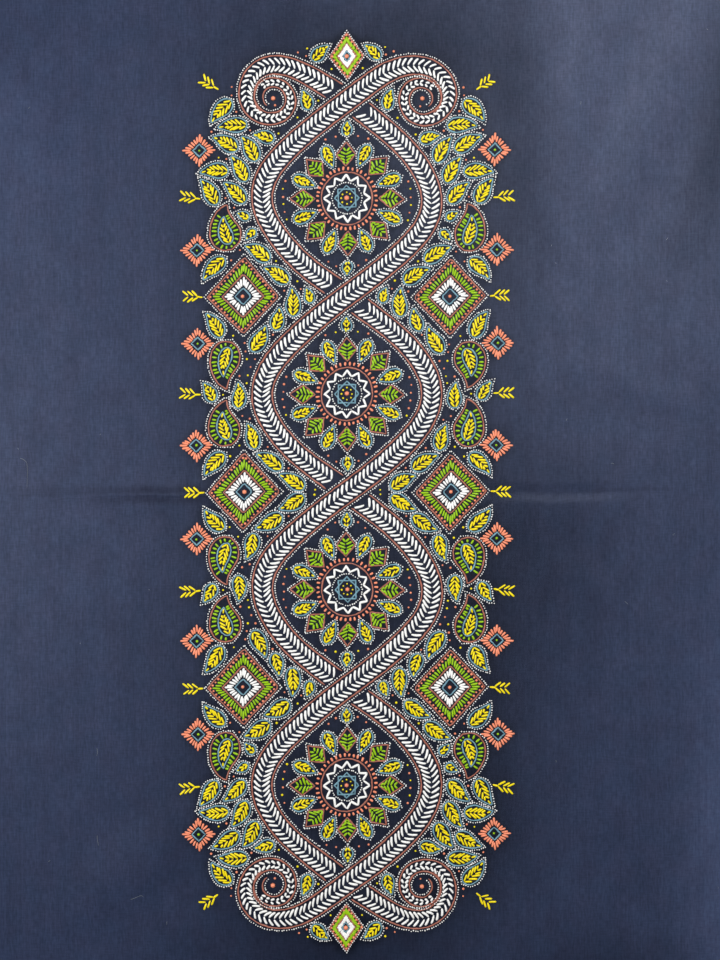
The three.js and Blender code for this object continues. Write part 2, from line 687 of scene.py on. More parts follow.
def star_ray(ray):
    """A long diamond with its tip at the star's rim, filled with green chevrons."""
    near, wide, far, half = RAY_START, RAY_WIDEST, STAR_RADIUS, RAY_HALF
    corners = np.array([near, wide + 1j * half, far, wide - 1j * half])
    pen.line("terracotta", ray.put(filled_in(corners)), OUTLINE, closed=True)
    side = wide + 0.9 + 1j * (half + 0.5)
    beyond = np.array([side, far + 1.5, np.conj(side)])
    pen.dotted("white", ray.put(beyond), DOT, DOT_PITCH)
    at = near + 1.0
    while at < far - 1.6:
        ahead = at + CHEVRON_SLANT
        room = min((ahead - near) / (wide - near), (far - ahead) / (far - wide))
        reach = half * room - CHEVRON_MARGIN
        for left in (1, -1):
            if reach > LEAST_REACH:
                start = at + left * 0.25j
                end = ahead + left * 1j * reach
                pen.dash("green", ray.put(start), ray.put(end), GREEN_DASH)
        at += CHEVRON_PITCH


# %% Stepped diamond
DIAMOND_EYE = 2.2
DIAMOND_FILLS = [
    ("white", 0.3, 0.5, 28, WHITE_DASH),
    ("green", 0.63, 0.83, 48, GREEN_DASH),
]
INNER_LINE = 0.22
MIDDLE_LINE = 0.57
CORAL_BEADS = 0.905
EDGE_LINE = 0.985
EDGE_DOTS = 1.075


def around_diamond(across, up, count):
    """Spots round a diamond at even steps, from its right corner, as complex numbers."""
    pitch = 4 * math.hypot(across, up) / count
    return walk(corner_points(across, up), pitch, closed=True)[0]


def diamond(spot, across, up):
    """A stepped diamond: rings of dashes, each between two smaller diamonds."""

    def ring(share):
        return spot + around_diamond(across * share, up * share, round(52 * share) + 4)

    pen.dot("coral", spot, DIAMOND_EYE)
    pen.line("blue", ring(INNER_LINE), OUTLINE, closed=True)
    for paint, low, high, count, width in DIAMOND_FILLS:
        inner = around_diamond(across * low, up * low, count)
        outer = around_diamond(across * high, up * high, count)
        for start, end in zip(inner, outer):
            pen.dash(paint, spot + start, spot + end, width)
    pen.line("terracotta", ring(MIDDLE_LINE), OUTLINE, closed=True)
    pen.dotted("coral", ring(CORAL_BEADS), 1.25, 1.9, closed=True)
    pen.line("terracotta", ring(EDGE_LINE), OUTLINE, closed=True)
    pen.dotted("white", ring(EDGE_DOTS), DOT, DOT_PITCH, closed=True)


# %% [markdown]
# Small bursts and fletches stand round the outside, on the open cloth. They break
# the edge of the ornament and carry its warm colours out onto the navy.


# %% Burst and fletch
BURST_SIZE = 7.4
BURST_DASHES = 24
BURST_EYE = 0.4
BURST_GAP = 0.56
STEM = 2.4
FLETCH_PAIRS = 3


def burst(spot):
    """Coral dashes of uneven reach, so that their tips draw a diamond."""
    pen.dot("green", spot, 1.4)
    corners = corner_points(1, 1) * BURST_SIZE * BURST_EYE
    pen.line("blue", spot + filled_in(corners, 0.8), OUTLINE, closed=True)
    outer = around_diamond(BURST_SIZE, BURST_SIZE, BURST_DASHES)
    inner = outer * BURST_GAP
    for start, end in zip(inner, outer):
        pen.dash("coral", spot + start, spot + end, CORAL_DASH)
    cover(circle(spot, BURST_SIZE * 0.9))


def fletch(place):
    """Pairs of yellow dashes along a short stem, as on an arrow."""
    pen.dash("yellow", place.put(0), place.put(STEM), YELLOW_DASH)
    for i in range(FLETCH_PAIRS):
        at = STEM + 2.1 * i
        for left in (1, -1):
            end = place.put(at + 2.5 + left * 2.3j)
            pen.dash("yellow", place.put(at + left * 0.35j), end, YELLOW_DASH)


# %% [markdown]
# ## Laying out the main motifs
#
# A star sits in each eye between two crossings. A diamond sits in each bay beside a
# crossing, with a curled drop above and below it. A tall diamond closes the top and
# the bottom between the scrolls. Each one also covers ground, so that the small
# leaves that are fitted in later keep clear of it.

# %% Place the main motifs
EYES = [0.5 * BAND_RUN, 1.5 * BAND_RUN]
BAYS = [0, BAND_RUN]
BAY_MIDDLE = 46.5
DIAMOND_ACROSS = 16
DIAMOND_UP = 17.5
BUD_GAP = 2.9
BUD_LENGTH = 6.6
BUD_HALF = 2.3
DROP_LENGTH = 21.8
DROP_HALF = 6.8
DROP_CURL = 1.1
DROP_OUT = 52
DROP_UP = 20.9
FINIAL_MIDDLE = 196.2
FINIAL_ACROSS = 7.6
FINIAL_UP = 10.6


pen.ways = TOP_BOTTOM
for y in EYES:
    star(1j * y)
    cover(circle(1j * y, STAR_RADIUS + 1.7))
    for above in (1, -1):
        base = Place(1j * (y + above * (STAR_RADIUS + BUD_GAP)), 90 * above)
        leaf(base, BUD_LENGTH, BUD_HALF, 0.0)
        cover(base.put(drop_outline(BUD_LENGTH, BUD_HALF, 0.0, 1.6)))

for y in BAYS:
    pen.ways = LEFT_RIGHT if y == 0 else FOUR_WAYS
    diamond(BAY_MIDDLE + 1j * y, DIAMOND_ACROSS, DIAMOND_UP)
    cover(BAY_MIDDLE + 1j * y + corner_points(DIAMOND_ACROSS, DIAMOND_UP) * 1.16)
    pen.ways = FOUR_WAYS
    for above in (1, -1) if y else (1,):
        place = Place(DROP_OUT + 1j * (y + above * DROP_UP), 80 * above, flipped=above < 0)
        large_drop(place, DROP_LENGTH, DROP_HALF, DROP_CURL)
        cover(place.put(drop_outline(DROP_LENGTH, DROP_HALF, DROP_CURL, 1.9)))

pen.ways = TOP_BOTTOM
diamond(1j * FINIAL_MIDDLE, FINIAL_ACROSS, FINIAL_UP)
cover(1j * FINIAL_MIDDLE + corner_points(FINIAL_ACROSS, FINIAL_UP) * 1.2)
print("dashes so far", {paint: len(pen.dashes[paint]) for paint in PAINTS})

# %% Bursts and fletches round the edge
BURST_SPOTS = [(67.5, 21), (67.5, 67), (67.5, 109), (66.5, 154)]
FLETCH_SPOTS = [(64.5, 0, 0), (66, 44, 4), (64.5, 88, 2), (66, 132, 8), (58, 181, 34)]
FLETCH_LENGTH = 9
pen.ways = FOUR_WAYS
for across, up in BURST_SPOTS:
    burst(complex(across, up))
for across, up, heading in FLETCH_SPOTS:
    pen.ways = LEFT_RIGHT if up == 0 else FOUR_WAYS
    place = Place(complex(across, up), heading)
    fletch(place)
    cover(place.put(corner_points(FLETCH_LENGTH / 2 + 1, 3.4) + FLETCH_LENGTH / 2))
pen.ways = ONCE

# %% [markdown]
# ## Filling the ground
#
# A painter fills what is left with small leaves, the larger ones first, and each
# one turns along the nearest band. The script does the same on a map of one
# quarter of the panel: it tries each place, and lays a leaf where the map is still
# free. What is too small for a leaf takes a dot.

# %% A map of the free ground
CELL = 0.5
MAP_WIDTH = 76
MAP_LENGTH = 208
BODY_HALF = 68
BODY_SHOULDER = 150
BODY_TOP = 203
map_x, map_y = np.meshgrid(np.arange(0, MAP_WIDTH, CELL), np.arange(0, MAP_LENGTH, CELL))
map_spots = map_x + 1j * map_y


def inside(outline, spots):
    """True where spots lie inside a closed outline, by counting its crossings."""
    odd = np.zeros(spots.shape, bool)
    for a, b in zip(outline, np.roll(outline, -1)):
        if a.imag == b.imag:
            continue
        straddles = (a.imag > spots.imag) != (b.imag > spots.imag)
        cut = a.real + (spots.imag - a.imag) * (b.real - a.real) / (b.imag - a.imag)
        odd ^= straddles & (spots.real < cut)
    return odd


def nearest_on_bands(spots):
    """How far each spot lies from the nearest band, and that band's heading there."""
    path = np.concatenate([BANDS[1][::4], BANDS[-1][::4]])
    forward = np.concatenate([np.gradient(BANDS[side])[::4] for side in (1, -1)])
    halves = np.concatenate([band_half(BANDS[side])[::4] for side in (1, -1)])
    best = np.full(spots.shape, 1e9)
    which = np.zeros(spots.shape, int)
    for i, point in enumerate(path):
        if point.imag < -20 or point.real < -20:
            continue
        away = np.abs(spots - point) - halves[i]
        closer = away < best
        best[closer] = away[closer]
        which[closer] = i
    return best, path[which], forward[which] / np.abs(forward[which])


band_gap, band_point, band_heading = nearest_on_bands(map_spots)
shoulder = np.clip((map_y - BODY_SHOULDER) / (BODY_TOP - BODY_SHOULDER), 0, 1)
free = (map_x < BODY_HALF * np.sqrt(1 - shoulder**2)) & (band_gap > DOT_GAP + 0.6)
for outline in covered:
    free &= ~inside(outline, map_spots)
print("free ground in square mm", round(float(free.sum() * CELL**2)))

# %% Fit the leaves
LEAF_SIZES = [
    (13.5, 3.4),
    (12.2, 3.2),
    (11.0, 3.0),
    (9.8, 2.8),
    (8.6, 2.6),
    (7.4, 2.4),
    (6.4, 2.15),
]
LEAF_MARGIN = 1.15
LEAF_LEAN = 50
LEAF_CURL = 0.5
HEADINGS = 24
NUDGES = (0, 1, -1, 2, -2, 3, -3, 4, -4, 5, -5, 6, -6)


def leaf_cells(length, half, heading, curl):
    """The map cells that a leaf and its dots cover, counted from its base."""
    outline = drop_outline(length, half, curl, LEAF_MARGIN) * cmath.rect(1, heading)
    reach = int(math.ceil((length + 3) / CELL))
    steps = np.arange(-reach, reach + 1)
    across, up = np.meshgrid(steps, steps)
    held = inside(outline, (across + 1j * up) * CELL)
    return across[held], up[held]


def fits(cells, row, column):
    """True where all the cells of a leaf based at row, column are free."""
    rows = row + cells[1]
    columns = column + cells[0]
    if rows.min() < 0 or columns.min() < 0:
        return False
    if rows.max() >= free.shape[0] or columns.max() >= free.shape[1]:
        return False
    return free[rows, columns].all()


out_from_band = map_spots - band_point
out_from_band /= np.maximum(np.abs(out_from_band), 1e-6)
upward = np.where(band_heading.imag > 0, band_heading, -band_heading)
leaf_lean = cmath.rect(1, math.radians(LEAF_LEAN))
wished = np.angle(upward * leaf_lean.real + out_from_band * leaf_lean.imag)
bend_side = np.sign((np.conj(upward) * out_from_band).imag)
leaves = []
for length, half in LEAF_SIZES:
    cells = {}
    for turn in range(HEADINGS):
        for curl in (-LEAF_CURL, LEAF_CURL):
            heading = math.tau * turn / HEADINGS
            cells[turn, curl] = leaf_cells(length, half, heading, curl)
    order = np.lexsort((map_y.ravel(), np.round(band_gap.ravel() / 2.5)))
    for index in order:
        row, column = divmod(int(index), free.shape[1])
        if not free[row, column]:
            continue
        wish = wished[row, column]
        curl = LEAF_CURL if bend_side[row, column] >= 0 else -LEAF_CURL
        nearest = round(wish / math.tau * HEADINGS)
        for nudge in NUDGES:
            turn = (nearest + nudge) % HEADINGS
            if fits(cells[turn, curl], row, column):
                leaves.append((map_spots[row, column], 360 * turn / HEADINGS, length, half, curl))
                across, up = cells[turn, curl]
                free[row + up, column + across] = False
                break
pen.ways = FOUR_WAYS
for spot, heading, length, half, curl in leaves:
    leaf(Place(spot, heading), length, half, curl)
print("leaves in one quarter", len(leaves))

# %% Fill the smallest gaps with dots
FILL_DOT = 1.15
FILL_ROOM = 1.0
EDGE_CLEAR = 7
fill_reach = int(math.ceil(FILL_ROOM / CELL))


def window(row, column, reach):
    """The part of the map within reach of a cell, as slices."""
    rows = slice(max(0, row - reach), row + reach + 1)
    columns = slice(max(0, column - reach), column + reach + 1)
    return rows, columns


filled = 0
for index in np.lexsort((map_x.ravel(), map_y.ravel())):
    row, column = divmod(int(index), free.shape[1])
    if map_x[row, column] > BODY_HALF - EDGE_CLEAR:
        continue
    room = free[window(row, column, fill_reach)]
    if room.size == (2 * fill_reach + 1) ** 2 and room.all():
        pen.dot("coral" if filled % 3 else "yellow", map_spots[row, column], FILL_DOT)
        free[window(row, column, fill_reach + 2)] = False
        filled += 1
print("filling dots in one quarter", filled)

for paint in PAINTS:
    print(paint, len(pen.dashes[paint]), len(pen.dots[paint]), len(pen.lines[paint]))

# %% [markdown]
# ## From marks to beads
#
# A bead of paste has a flat foot on the cloth and a round crown. One bead is half a
# sphere, and every dash and dot of a colour is a copy of it, stretched along the
# mark, bent by its bow and raised to the cloth's height at each point. The copies
# of a colour are joined in one mesh, or in a left and a right one where they are
# very many, which is far lighter than thousands of objects. An attribute keeps how
# near each point is to the crown, for the finish.

# %% Bead shapes
BEAD_HEIGHT = 0.34
BEAD_SINK = 0.05
BEAD_TAPER = 0.1
BEAD_OVERLAP = 0.35
DOT_CROWN = 1.15


def half_sphere(segments, rings, lying):
    """The upper half of a sphere, closed below, as corners and faces.

    A lying one has its poles at its ends, so that it can be drawn out to a dash.
    """
    shape = bmesh.new()
    bmesh.ops.create_uvsphere(shape, u_segments=segments, v_segments=rings, radius=1)
    if lying:
        turn = Matrix.Rotation(math.pi / 2, 3, "Y")
        bmesh.ops.rotate(shape, verts=shape.verts, matrix=turn)
    parts = shape.verts[:] + shape.edges[:] + shape.faces[:]
    cut = bmesh.ops.bisect_plane(
        shape, geom=parts, dist=1e-5, plane_co=(0, 0, 0), plane_no=(0, 0, 1), clear_inner=True
    )
    rim = [part for part in cut["geom_cut"] if isinstance(part, bmesh.types.BMEdge)]
    bmesh.ops.contextual_create(shape, geom=rim)
    bmesh.ops.recalc_face_normals(shape, faces=shape.faces)
    for corner in shape.verts:
        x, y, z = corner.co
        girth = math.hypot(y, z)
        if lying and girth > 1e-6:
            swell = girth**0.55 / girth
            corner.co = Vector((math.copysign(abs(x) ** 0.8, x), y * swell, z * swell))
    shape.verts.index_update()
    corners = np.array([tuple(corner.co) for corner in shape.verts])
    faces = [tuple(corner.index for corner in face.verts) for face in shape.faces]
    shape.free()
    return corners, faces


DASH_BEAD = half_sphere(8, 6, lying=True)
DOT_BEAD = half_sphere(6, 4, lying=False)
print("faces of a dash and of a dot", len(DASH_BEAD[1]), len(DOT_BEAD[1]))


# %% Copy the beads along the marks
def settle(x, y, rise, height):
    """Beads set on the cloth: crowns keep their rise, and undersides sink in a little."""
    up = np.where(rise > 1e-3, rise * height, -BEAD_SINK)
    ground = CLOTH_TOP + lift(x, y)
    return np.stack([x, y, ground + up], axis=-1) * MM


def dash_points(marks):
    """Corners of every dash bead, and how near each is to the crown."""
    start = np.array([mark[0] for mark in marks])[:, None]
    end = np.array([mark[1] for mark in marks])[:, None]
    width = np.array([mark[2] for mark in marks])[:, None]
    bow = np.array([mark[3] for mark in marks])[:, None]
    bead = DASH_BEAD[0]
    along = bead[None, :, 0]
    length = np.abs(end - start) + width * BEAD_OVERLAP
    ahead = (end - start) / np.abs(end - start)
    taper = 1 + BEAD_TAPER * along
    middle = (start + end) / 2 + ahead * along * length / 2
    middle = middle + 1j * ahead * bow * length * 0.5 * (1 - along**2)
    spots = middle + 1j * ahead * bead[None, :, 1] * width / 2 * taper
    rise = np.broadcast_to(bead[None, :, 2], spots.shape)
    height = BEAD_HEIGHT * width * taper
    return settle(spots.real, spots.imag, rise, height), rise


def dot_points(marks):
    """Corners of every dot bead, and how near each is to the crown."""
    spot = np.array([mark[0] for mark in marks])[:, None]
    size = np.array([mark[1] for mark in marks])[:, None]
    bead = DOT_BEAD[0]
    spots = spot + (bead[None, :, 0] + 1j * bead[None, :, 1]) * size / 2
    rise = np.broadcast_to(bead[None, :, 2], spots.shape)
    return settle(spots.real, spots.imag, rise, BEAD_HEIGHT * DOT_CROWN * size), rise


def finished(mesh, values):
    """The mesh with its values kept as attributes of its points, and shaded smooth."""
    for name, value in values.items():
        kept = mesh.attributes.new(name, "FLOAT", "POINT")
        kept.data.foreach_set("value", value.astype(np.float32).ravel())
    mesh.polygons.foreach_set("use_smooth", [True] * len(mesh.polygons))
    mesh.update()
    return mesh


def joined_beads(name, points, rise, faces):
    """One mesh of all the copies: each copy's faces count on from its first corner."""
    copies, corners = points.shape[:2]
    offsets = np.arange(copies) * corners
    all_faces = []
    for face in faces:
        all_faces.append(offsets[:, None] + np.array(face)[None, :])
    order = [row for block in all_faces for row in block.tolist()]
    mesh = bpy.data.meshes.new(name)
    mesh.from_pydata(points.reshape(-1, 3).tolist(), [], order)
    return finished(mesh, {"crown": np.clip(rise, 0, 1)})


# %% [markdown]
# Long outlines are splines with a round section. They are made into tubes, and the
# same settling then flattens the tubes' feet onto the cloth. Their width swells and
# thins along the way, as a thread of paste does when the hand speeds up.


# %% Lines as tubes
LINE_SHAKE = 0.06
LINE_SWELL = 0.16


def line_mesh(name, marks):
    curve = bpy.data.curves.new(name, "CURVE")
    curve.dimensions = "3D"
    curve.twist_mode = "Z_UP"
    curve.bevel_depth = 1.0
    curve.bevel_resolution = 1
    curve.use_fill_caps = True
    for path, width, closed in marks:
        spline = curve.splines.new("POLY")
        spline.points.add(len(path) - 1)
        spline.use_cyclic_u = closed
        drift = hand.uniform(0, math.tau)
        for i, (spot, point) in enumerate(zip(path, spline.points)):
            place = spot + shaken(LINE_SHAKE)
            swell = 1 + LINE_SWELL * math.sin(drift + i * 0.7)
            swell += hand.uniform(-LINE_SWELL, LINE_SWELL)
            point.co = (place.real, place.imag, 0, 1)
            point.radius = width / 2 * swell
        if not closed:
            spline.points[0].radius *= 0.5
            spline.points[-1].radius *= 0.5
    thread = bpy.data.objects.new(name, curve)
    mesh = bpy.data.meshes.new_from_object(thread)
    bpy.data.objects.remove(thread)
    bpy.data.curves.remove(curve)
    points = np.empty(len(mesh.vertices) * 3, np.float64)
    mesh.vertices.foreach_get("co", points)
    points = points.reshape(-1, 3)
    rise = points[:, 2] / (OUTLINE / 2)
    settled = settle(points[:, 0], points[:, 1], rise, BEAD_HEIGHT * OUTLINE)
    mesh.vertices.foreach_set("co", settled.astype(np.float32).ravel())
    return finished(mesh, {"crown": np.clip(rise, 0, 1)})


# %% [markdown]
# ## The finish of the paint
#
# Dried paste is glossy but not wet, and opaque on its crown. Towards its foot the
# colour is painted deeper: partly the navy showing through where the paste thins out,
# partly painted shade on the bead's sides. The tone also wanders from one stretch to
# the next, most of all in the terracotta and the blue, which are drawn thinnest. A fine
# bump breaks up the highlights, and they keep half of the paint's own hue, since light
# also scatters just under the film of oil.

# %% Paint materials
PAINT_COLOURS = {
    "white": (0.93, 0.925, 0.9),
    "yellow": (0.94, 0.76, 0.006),
    "green": (0.31, 0.55, 0.006),
    "coral": (0.93, 0.3, 0.17),
    "terracotta": (0.42, 0.15, 0.105),
    "blue": (0.18, 0.345, 0.43),
}
UNEVEN = {
    "white": 0.3,
    "yellow": 0.5,
    "green": 0.55,
    "coral": 0.5,
    "terracotta": 0.85,
    "blue": 0.9,
}
FOOT_SHADE = 0.42
DEEPER = 0.62


def node(tree, kind, **settings):
    """A new node, with its inputs and settings given by name."""
    made = tree.nodes.new(kind)
    for key, value in settings.items():
        if key in made.inputs:
            made.inputs[key].default_value = value
        else:
            setattr(made, key, value)
    return made


def ranged(tree, value, low, high, to_low, to_high):
    """A value stretched from one range to another."""
    made = node(tree, "ShaderNodeMapRange")
    tree.links.new(value, made.inputs["Value"])
    made.inputs["From Min"].default_value = low
    made.inputs["From Max"].default_value = high
    made.inputs["To Min"].default_value = to_low
    made.inputs["To Max"].default_value = to_high
    return made.outputs["Result"]


def mix_colours(tree, share, first, second, blend="MIX"):
    """A colour mix. Each colour is a socket, or a plain colour."""
    mix = node(tree, "ShaderNodeMix", data_type="RGBA", blend_type=blend)
    for socket, value in ((mix.inputs[0], share), (mix.inputs[6], first), (mix.inputs[7], second)):
        if isinstance(value, bpy.types.NodeSocket):
            tree.links.new(value, socket)
        elif isinstance(value, tuple):
            socket.default_value = (*value, 1)
        else:
            socket.default_value = value
    return mix.outputs[2]


def paint_material(paint):
    material = bpy.data.materials.new(paint + " paste")
    material.use_nodes = True
    tree = material.node_tree
    shader = tree.nodes["Principled BSDF"]
    shader.inputs["Roughness"].default_value = 0.32
    shader.inputs["Specular IOR Level"].default_value = 0.5
    colour = PAINT_COLOURS[paint]
    glint = tuple(0.5 + 0.5 * channel / max(colour) for channel in colour)
    shader.inputs["Specular Tint"].default_value = (*glint, 1)
    # The darker foot is partly navy showing through thin paste, partly painted shade on the bead's
    # sides.
    foot = tuple(channel * FOOT_SHADE for channel in colour)
    crown = node(tree, "ShaderNodeAttribute", attribute_name="crown")
    rise = ranged(tree, crown.outputs["Fac"], 0, 0.7, 0, 1)
    rise.node.interpolation_type = "SMOOTHSTEP"
    body = mix_colours(tree, rise, foot, colour)
    place = node(tree, "ShaderNodeTexCoord")
    slow = node(tree, "ShaderNodeTexNoise", Scale=420.0, Detail=2.0)
    tree.links.new(place.outputs["Object"], slow.inputs["Vector"])
    tone = ranged(tree, slow.outputs["Fac"], 0.25, 0.75, 0, UNEVEN[paint])
    deeper = tuple(channel * DEEPER for channel in colour)
    toned = mix_colours(tree, tone, body, deeper)
    tree.links.new(toned, shader.inputs["Base Color"])
    fine = node(tree, "ShaderNodeTexNoise", Scale=2600.0, Detail=3.0)
    tree.links.new(place.outputs["Object"], fine.inputs["Vector"])
    bump = node(tree, "ShaderNodeBump", Strength=0.35, Distance=0.00012)
    tree.links.new(fine.outputs["Fac"], bump.inputs["Height"])
    tree.links.new(bump.outputs["Normal"], shader.inputs["Normal"])
    return material


paint_materials = {paint: paint_material(paint) for paint in PAINTS}


# %% Make the paint
def add_piece(name, mesh, material):
    mesh.materials.clear()
    mesh.materials.append(material)
    piece = bpy.data.objects.new(name, mesh)
    bpy.context.scene.collection.objects.link(piece)
    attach(piece, "root")
    return piece


MANY = 4000


def in_halves(name, marks):
    """The marks as they are, or those left and right of the middle if they are many."""
    if len(marks) < MANY:
        return {name: marks} if marks else {}
    left = [mark for mark in marks if mark[0].real < 0]
    right = [mark for mark in marks if mark[0].real >= 0]
    return {name + "_left": left, name + "_right": right}


all_triangles = 0
for paint in PAINTS:
    made = {}
    for name, marks in in_halves(paint + "_dashes", pen.dashes[paint]).items():
        made[name] = joined_beads(name, *dash_points(marks), DASH_BEAD[1])
    for name, marks in in_halves(paint + "_dots", pen.dots[paint]).items():
        made[name] = joined_beads(name, *dot_points(marks), DOT_BEAD[1])
    if pen.lines[paint]:
        made[paint + "_lines"] = line_mesh(paint + "_lines", pen.lines[paint])
    for name, mesh in made.items():
        piece = add_piece(name, mesh, paint_materials[paint])
        triangles = sum(len(face.vertices) - 2 for face in mesh.polygons)
        all_triangles += triangles
        print(piece.name, "triangles", triangles)
print("triangles of all the paint", all_triangles)

# %% [markdown]
# ## The cloth
#
# The cloth is one sheet with a top, an underside and cut edges. It starts as a flat
# grid whose lines stand close where the paint and the crease are. Then its points
# rise by the same lift as the paint, and a Solidify modifier gives it its
# thickness. The oil that has soaked out of the paste is worked out on a map of the
# panel: the paint is marked on it, and blurring spreads it. A short blur gives the
# dark ground between the marks. A long one gives a faint wide halo, part oil stain and
# part painted shade, and painted shade makes it darker towards the lower right. Each
# point of the cloth keeps its two shares as attributes.

# %% How far the oil has spread
OIL_CELL = 1.0
OIL_WIDTH = 416
OIL_LENGTH = 520
DASH_OIL = 0.2
DOT_OIL = 0.35
LINE_OIL = 0.4
NEAR_ROUNDS = 9
NEAR_GAIN = 4.5
COARSER = 4
WIDE_ROUNDS = 60
SOFTENING_ROUNDS = 8
WIDE_SHARE_LEAST = 0.9
LOW_RIGHT_SHADE = 0.8
LOW_RIGHT_SHADE_TOP = 50
LOW_RIGHT_SHADE_FALL = 120
LOW_RIGHT_SHADE_SIDE = 60


def paint_map():
    """How much paste lies on each square of the panel."""
    wet = np.zeros((int(OIL_LENGTH / OIL_CELL), int(OIL_WIDTH / OIL_CELL)))

    def mark(spots, amount):
        columns = ((np.real(spots) + OIL_WIDTH / 2) / OIL_CELL).astype(int)
        rows = ((np.imag(spots) + OIL_LENGTH / 2) / OIL_CELL).astype(int)
        np.add.at(wet, (rows, columns), amount)

    for paint in PAINTS:
        for a, b, width, _ in pen.dashes[paint]:
            mark(a + (b - a) * np.linspace(0, 1, 5), DASH_OIL * width)
        if pen.dots[paint]:
            mark(np.array([spot for spot, _ in pen.dots[paint]]), DOT_OIL)
        for path, width, _ in pen.lines[paint]:
            mark(path, LINE_OIL * width)
    return wet


def blurred(grid, rounds):
    """The map after each square has been shared out among its neighbours, many times."""
    for _ in range(rounds):
        grid = (np.roll(grid, 1, 0) + 2 * grid + np.roll(grid, -1, 0)) / 4
        grid = (np.roll(grid, 1, 1) + 2 * grid + np.roll(grid, -1, 1)) / 4
    return grid


def coarsened(grid, times):
    """The map in larger squares, each the mean of those it takes up."""
    rows = grid.reshape(grid.shape[0] // times, times, -1).mean(axis=1)
    return rows.reshape(rows.shape[0], -1, times).mean(axis=2)


paste = paint_map()
oil_near = np.clip(blurred(paste, NEAR_ROUNDS) * NEAR_GAIN, 0, 1)
spread = blurred(coarsened(paste, COARSER), WIDE_ROUNDS)
oil_and_shade_wide = np.kron(spread / spread.max(), np.ones((COARSER, COARSER)))
oil_and_shade_wide = blurred(oil_and_shade_wide, SOFTENING_ROUNDS)
oil_y, oil_x = np.mgrid[0:OIL_LENGTH, 0:OIL_WIDTH]
# Painted shade: the wide halo is darkened more towards the lower right.
lowness = soft_step((OIL_LENGTH / 2 + LOW_RIGHT_SHADE_TOP - oil_y) / LOW_RIGHT_SHADE_FALL)
rightness = soft_step((oil_x - OIL_WIDTH / 2) / LOW_RIGHT_SHADE_SIDE)
oil_and_shade_wide = np.clip(oil_and_shade_wide * (WIDE_SHARE_LEAST + LOW_RIGHT_SHADE * lowness * rightness), 0, 1)
print("share of the panel that the oil has darkened", round(float((oil_near > 0.5).mean()), 3))


def read_map(grid, x, y):
    """The map's value at x, y, blended from its four nearest squares."""
    column = np.clip((x + OIL_WIDTH / 2) / OIL_CELL - 0.5, 0, grid.shape[1] - 1.001)
    row = np.clip((y + OIL_LENGTH / 2) / OIL_CELL - 0.5, 0, grid.shape[0] - 1.001)
    c = column.astype(int)
    r = row.astype(int)
    fc = column - c
    fr = row - r
    low = grid[r, c] * (1 - fc) + grid[r, c + 1] * fc
    high = grid[r + 1, c] * (1 - fc) + grid[r + 1, c + 1] * fc
    return low * (1 - fr) + high * fr


# %% [markdown]
# Broad soft patches of painted light and shade lie over the cloth: some parts are
# painted brighter and some duller than the rest, in colour and in gloss alike.
# The cloth beyond both ends of the ornament is painted darkest, as painted shade.

# %% Patches of painted light and shade
# Each patch paints light (tone above 0) or shade (tone below 0) onto the cloth's colour and gloss.
LIGHT_AND_SHADE_PATCHES = [
    {"x": 176, "y": 180, "along": 100, "across": 27, "turn": 78, "tone": -0.52},
    {"x": 150, "y": 120, "along": 60, "across": 18, "turn": 74, "tone": -0.12},
    {"x": 78, "y": 160, "along": 120, "across": 24, "turn": 90, "tone": -0.3},
    {"x": 175, "y": -165, "along": 176, "across": 37, "turn": 90, "tone": 0.58},
    {"x": 92, "y": -30, "along": 88, "across": 56, "turn": 90, "tone": -0.26},
    {"x": 108, "y": -224, "along": 66, "across": 40, "turn": 0, "tone": -0.42},
    {"x": -146, "y": 154, "along": 50, "across": 34, "turn": 90, "tone": 0.18},
    {"x": -92, "y": -66, "along": 40, "across": 30, "turn": 80, "tone": -0.08},
    {"x": -22, "y": 204, "along": 90, "across": 56, "turn": 0, "tone": -0.33},
    {"x": 46, "y": 204, "along": 54, "across": 60, "turn": 0, "tone": -0.38},
    {"x": -14, "y": -212, "along": 105, "across": 44, "turn": 0, "tone": -0.4},
]


def painted_light_and_shade(x, y):
    """How much painted light or shade the cloth has at x, y, where 1 is none."""
    tone = np.ones_like(x)
    for patch in LIGHT_AND_SHADE_PATCHES:
        tone = tone + patch["tone"] * soft_spot(patch, x, y)
    return tone


# %% Cut and lay the cloth
SIDE_WAVE = {"depth": 0.9, "length": 310, "start": 0.6}
END_WAVE = {"depth": 0.7, "length": 260, "start": -1.1}
LEAN = 1.4
COLUMNS = 150
ROWS = 258
PAINTED_HALF = 82
PAINTED_SHARE = 0.7
CREASED_HALF = 9
CREASED_SHARE = 0.18


def crowded(t, half, inner, share):
    """Places for t from -1 to 1 that give the inner part its share of the steps."""
    size = np.abs(t)
    low = size / share * inner
    high = inner + (size - share) / (1 - share) * (half - inner)
    return np.sign(t) * np.where(size < share, low, high)


